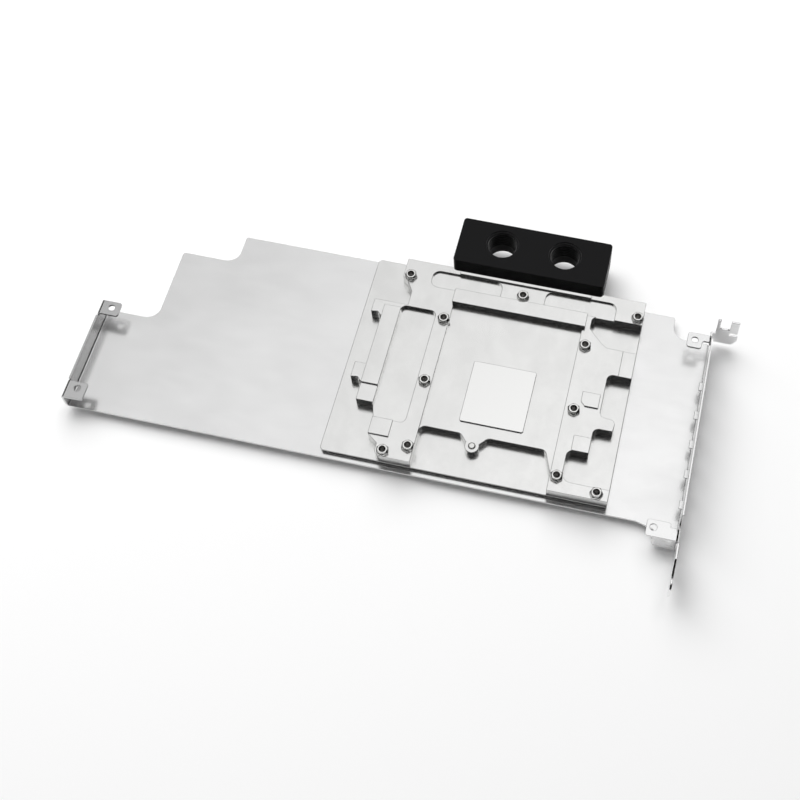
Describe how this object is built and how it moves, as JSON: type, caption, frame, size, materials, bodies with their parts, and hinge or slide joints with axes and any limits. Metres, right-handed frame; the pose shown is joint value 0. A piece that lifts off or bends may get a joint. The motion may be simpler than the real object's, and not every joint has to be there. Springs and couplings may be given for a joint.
{
  "type": "gpu water block",
  "caption": "Single-slot liquid cooling block for a graphics card: milled nickel-plated plates with pads and standoffs on a full-length folded cover, with hose terminal and slot bracket.",
  "frame": {"origin": "on the cover sheet's outer face, under the centre of the four-hole processor pattern", "axes": "+X along the card towards the slot bracket, +Y towards the hose terminal, +Z from the cover towards the card"},
  "size_m": [0.2806, 0.154, 0.0184],
  "materials": {
    "stainless_sheet": "satin rolled stainless sheet, 1 mm, deburred edges",
    "stainless_bracket": "satin stainless, punched and folded",
    "stainless_inner": "plain thin stainless, laser cut",
    "nickel_plate": "nickel plating over milled copper, fine tool paths showing",
    "nickel_plate_base": "nickel plating over milled brass, swirling tool marks",
    "standoff_nickel": "nickel-plated turned brass",
    "screw_steel": "zinc-plated steel screw",
    "screw_steel_black": "black oxide steel screw",
    "acetal_black": "machined black acetal, satin",
    "seal_rubber": "plain black seal rubber"
  },
  "bodies": {
    "root": {"block_screws": "screw_steel", "block_top": "nickel_plate_base", "centre_screw": "screw_steel", "cold_plate": "nickel_plate", "cover_screws": "screw_steel", "cover_sheet": "stainless_sheet", "inlet_seal": "seal_rubber", "io_bracket": "stainless_bracket", "jet_plate": "stainless_inner", "main_seal": "seal_rubber", "outlet_seal": "seal_rubber", "standoff_01": "standoff_nickel", "standoff_02": "standoff_nickel", "standoff_03": "standoff_nickel", "standoff_04": "standoff_nickel", "standoff_05": "standoff_nickel", "standoff_06": "standoff_nickel", "standoff_07": "standoff_nickel", "standoff_08": "standoff_nickel", "standoff_09": "standoff_nickel", "standoff_10": "standoff_nickel", "standoff_11": "standoff_nickel", "terminal": "acetal_black", "terminal_screws": "screw_steel_black"}
  },
  "joints": []
}
